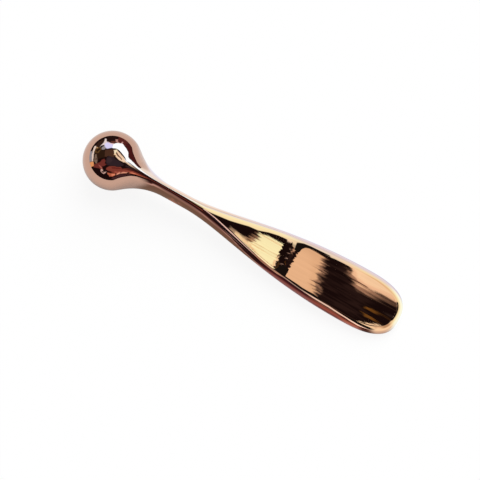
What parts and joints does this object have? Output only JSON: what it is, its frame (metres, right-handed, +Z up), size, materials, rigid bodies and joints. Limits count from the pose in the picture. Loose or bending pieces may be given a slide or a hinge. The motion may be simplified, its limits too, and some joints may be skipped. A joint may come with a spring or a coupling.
{
  "type": "cosmetic applicator wand",
  "caption": "Slim polished rose-gold hand wand: a ball at one end, a flared neck, and a flat round-ended paddle at the other, for spreading cream and cool massage.",
  "frame": {"origin": "middle of the footprint of the wand's bounding box, on the surface that it lies on", "axes": "+Z up from that surface, +X along the wand from the ball towards the paddle's tip, +Y across the paddle"},
  "size_m": [0.0754, 0.0128, 0.0127],
  "materials": {
    "ball_plating": "mirror-polished rose-gold plating",
    "handle_plating": "mirror-polished rose-gold plating with faint lengthwise polishing lines",
    "pin_steel": "bare drawn steel, hidden inside the joint",
    "filler_alloy": "bare silver brazing alloy, dull, hidden inside the joint"
  },
  "bodies": {
    "root": {"ball": "ball_plating", "handle": "handle_plating", "joint_pin": "pin_steel", "braze_filler": "filler_alloy"}
  },
  "joints": []
}
